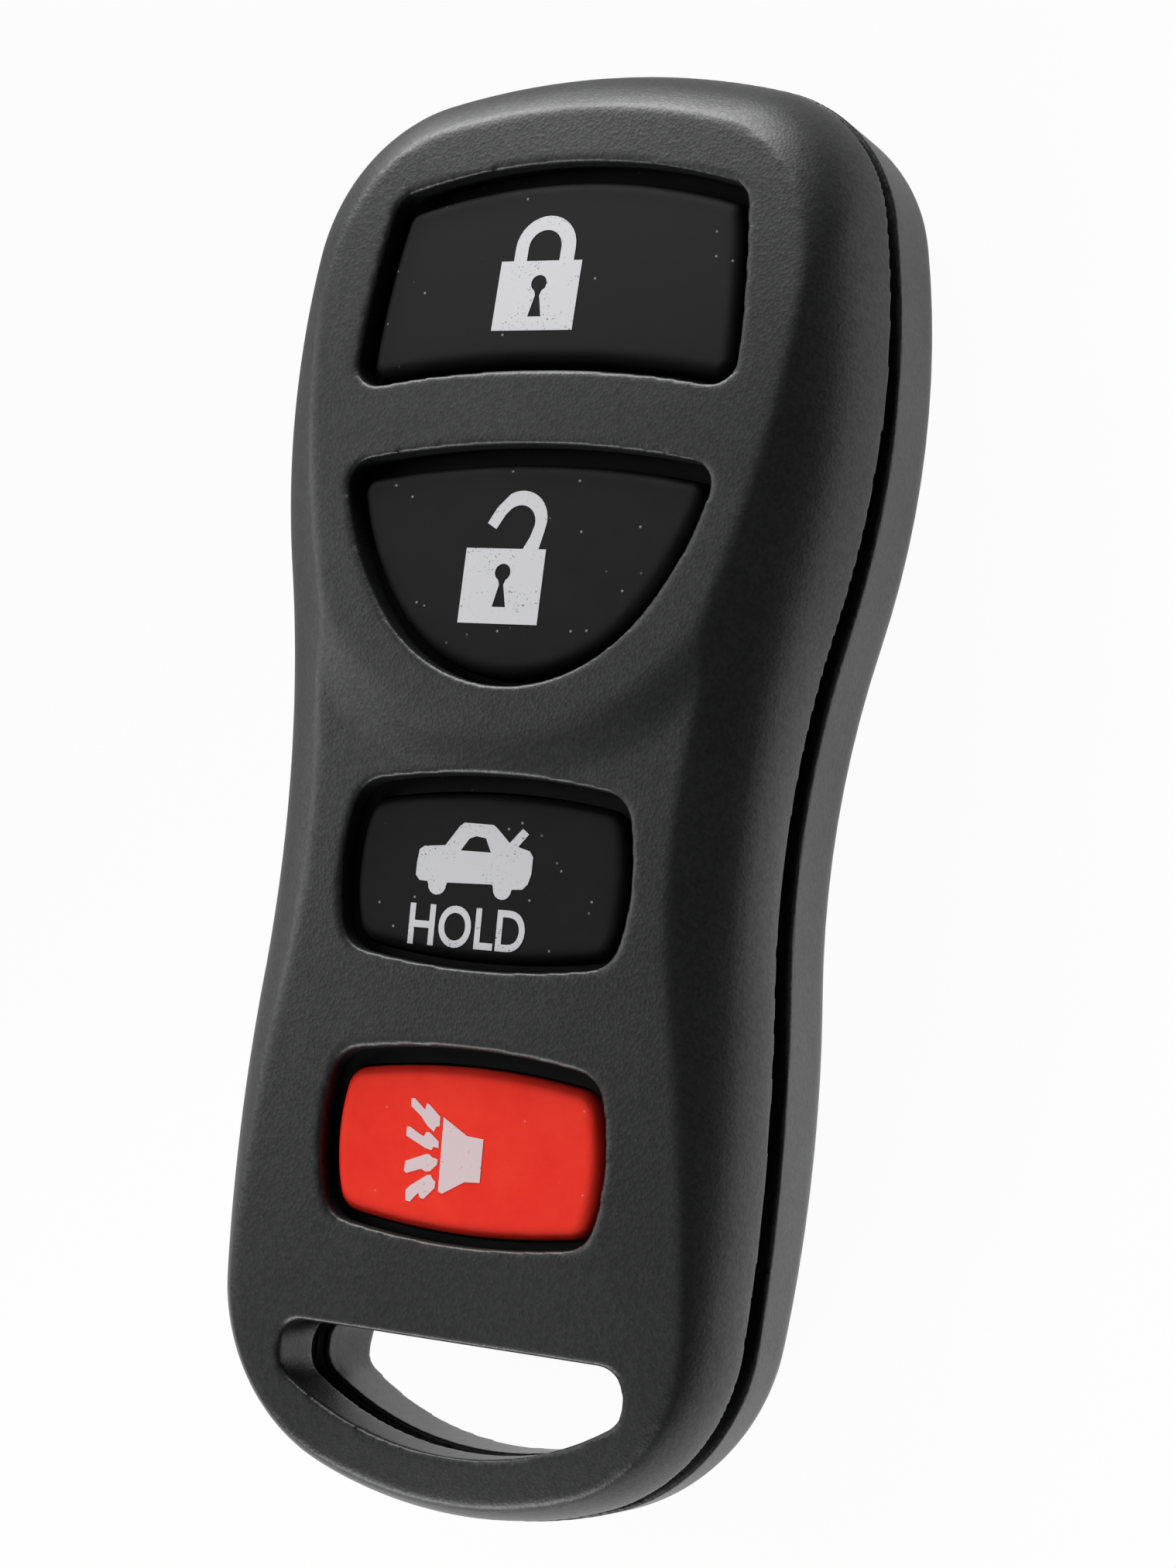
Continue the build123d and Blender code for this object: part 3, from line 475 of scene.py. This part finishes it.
# Siren horn with four jagged rays to its left
horn = [(-1.24, -16.88), (0.12, -17.64), (1.02, -17.7), (0.98, -19.78), (0.14, -19.84)]
horn += [(-1.04, -20.52), (-1.26, -20.44)]
ray_a = [(-3.1, -16.15), (-2.92, -16.12), (-2.3, -16.62), (-2.22, -16.32), (-2.07, -16.35)]
ray_a += [(-1.43, -16.88), (-1.42, -17.32), (-1.62, -17.38), (-1.73, -17.63), (-2.12, -17.36)]
ray_a += [(-2.48, -16.96), (-3.08, -16.52)]
ray_b = [(-3.23, -17.52), (-3.05, -17.52), (-2.52, -17.8), (-2.26, -17.9), (-2.13, -17.67)]
ray_b += [(-1.95, -17.68), (-1.42, -18.06), (-1.4, -18.38), (-1.68, -18.34), (-1.79, -18.52)]
ray_b += [(-2.17, -18.43), (-3.23, -17.97)]
ray_c = [(-3.18, -19.18), (-2.04, -18.72), (-1.86, -18.73), (-1.74, -18.84), (-1.4, -18.92)]
ray_c += [(-1.42, -19.17), (-1.79, -19.53), (-2.04, -19.57), (-2.27, -19.46), (-3.09, -19.75)]
ray_c += [(-3.23, -19.65)]
ray_d = [(-3.06, -20.57), (-2.81, -20.32), (-1.92, -19.72), (-1.71, -19.7), (-1.62, -19.86)]
ray_d += [(-1.44, -20.01), (-1.46, -20.29), (-2.04, -20.89), (-2.25, -20.85), (-2.34, -20.62)]
ray_d += [(-2.52, -20.79), (-2.78, -21.1), (-3.02, -21.06)]
siren = [[horn], [ray_a], [ray_b], [ray_c], [ray_d]]
printed("panic_symbol", siren, CAP_SINK + SHIELD_RISE, "panic_key", white_on_red)

# The word under the car, a plain control legend, and the box that it fills in millimetres
word_left = -4.1
word_width = 6.4
word_foot = -8.74
word_height = 2.04
curve = bpy.data.curves.new("trunk_word", "FONT")
curve.body = "HOLD"
curve.size = 2.6 * MM
curve.align_x = "CENTER"
curve.space_character = 1.02
curve.offset = 0.045 * MM
curve.resolution_u = 6
letters = bpy.data.objects.new("trunk_word_curve", curve)
scene.collection.objects.link(letters)
letters_mesh = applied(letters)
bpy.data.objects.remove(letters)
word_film = bmesh.new()
word_film.from_mesh(letters_mesh)
bpy.data.meshes.remove(letters_mesh)
bmesh.ops.remove_doubles(word_film, verts=word_film.verts, dist=0.001 * MM)
low_x = min(v.co.x for v in word_film.verts)
high_x = max(v.co.x for v in word_film.verts)
low_y = min(v.co.y for v in word_film.verts)
high_y = max(v.co.y for v in word_film.verts)
for v in word_film.verts:
    v.co.x = (word_left + word_width * (v.co.x - low_x) / (high_x - low_x)) * MM
    v.co.y = (word_foot + word_height * (v.co.y - low_y) / (high_y - low_y)) * MM
word = laid_film("trunk_word", word_film, CAP_SINK + SHIELD_RISE, white_ink)
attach(word, "trunk_key")


# Studio
def area_light(name, place, aim, size, power):
    """A soft panel that faces a point. Places and sizes in millimetres."""
    data = bpy.data.lights.new(name, "AREA")
    data.shape = "RECTANGLE"
    data.size = size[0] * MM
    data.size_y = size[1] * MM
    data.energy = power
    lamp = bpy.data.objects.new(name, data)
    scene.collection.objects.link(lamp)
    look = (Vector(aim) - Vector(place)).to_track_quat("-Z", "Y")
    lamp.matrix_world = Matrix.Translation(Vector(place) * MM) @ look.to_matrix().to_4x4()


def studio_paper(name):
    """White paper for the floor. The camera sees it almost white, whatever falls on it."""
    paper = bpy.data.materials.new(name)
    paper.use_nodes = True
    tree = paper.node_tree
    tree.nodes.clear()
    path = add_node(tree, "ShaderNodeLightPath").outputs
    # Painted light and shade: the paper's colour, and its glow as glossy rays see it, are made darker to
    # the left and brighter to the right and towards the tail, and the case's walls mirror that
    place = add_node(tree, "ShaderNodeTexCoord").outputs["Object"]
    towards = add_node(tree, "ShaderNodeVectorMath", {0: place}, operation="DOT_PRODUCT")
    towards.inputs[1].default_value = (0.8, -0.6, 0.0)
    painted_light_side = stretched(tree, towards.outputs["Value"], -35 * MM, 20 * MM, 0.15, 1.0)
    colour = shade_between(tree, painted_light_side, "#6A6A6A", "#F4F4F4")
    sheet = add_node(tree, "ShaderNodeBsdfDiffuse", {"Color": colour})
    glint = maths(tree, "MULTIPLY", path["Is Glossy Ray"], painted_light_side)
    glow = add_node(tree, "ShaderNodeEmission", {"Strength": stretched(tree, glint, 0.0, 1.0, 1.0, 1.35)})
    seen = maths(tree, "ADD", path["Is Camera Ray"], glint)
    seen = maths(tree, "ADD", seen, path["Is Transmission Ray"], use_clamp=True)
    mixed = add_node(tree, "ShaderNodeMixShader", {
        0: maths(tree, "MULTIPLY", seen, 0.96),
        1: sheet.outputs["BSDF"],
        2: glow.outputs["Emission"],
    })
    # Seen from under, and where the back of the case lies on it, the paper is clear, so that the back shows
    clear = add_node(tree, "ShaderNodeBsdfTransparent")
    touching = maths(tree, "LESS_THAN", path["Ray Length"], 0.5 * MM)
    behind = add_node(tree, "ShaderNodeNewGeometry").outputs["Backfacing"]
    one_sided = add_node(tree, "ShaderNodeMixShader", {
        0: maths(tree, "MAXIMUM", behind, touching),
        1: mixed.outputs["Shader"],
        2: clear.outputs["BSDF"],
    })
    add_node(tree, "ShaderNodeOutputMaterial", {"Surface": one_sided.outputs["Shader"]})
    return paper


area_light("head_panel", place=(-95, 238, 80), aim=(0, 25, 8), size=(230, 110), power=1.05)
area_light("left_panel", place=(-235, 20, 145), aim=(0, 0, 8), size=(160, 260), power=0.33)
area_light("tail_panel", place=(-90, -230, 110), aim=(0, -10, 8), size=(160, 60), power=0.5)

# The world is a weak white fill, and plain white where the camera sees it
world = bpy.data.worlds.new("studio_world")
world.use_nodes = True
sky = world.node_tree
background = sky.nodes["Background"]
background.inputs["Color"].default_value = linear("#FFFFFF")
sky_path = add_node(sky, "ShaderNodeLightPath").outputs
plug(sky, background, {"Strength": stretched(sky, sky_path["Is Camera Ray"], 0.0, 1.0, 0.15, 1.0)})
scene.world = world

# The floor lies a hair under the case, so that the two do not lie in one plane
floor_half = 1500 * MM
floor_gap = 0.02 * MM
floor_skin = bmesh.new()
bmesh.ops.create_grid(floor_skin, x_segments=1, y_segments=1, size=floor_half)
bmesh.ops.translate(floor_skin, verts=floor_skin.verts, vec=(0, 0, -floor_gap))
floor_mesh = bpy.data.meshes.new("studio_floor")
floor_skin.to_mesh(floor_mesh)
floor_skin.free()
floor = link_piece("studio_floor", floor_mesh, studio_paper("white_paper"))

scene.view_settings.view_transform = "Standard"
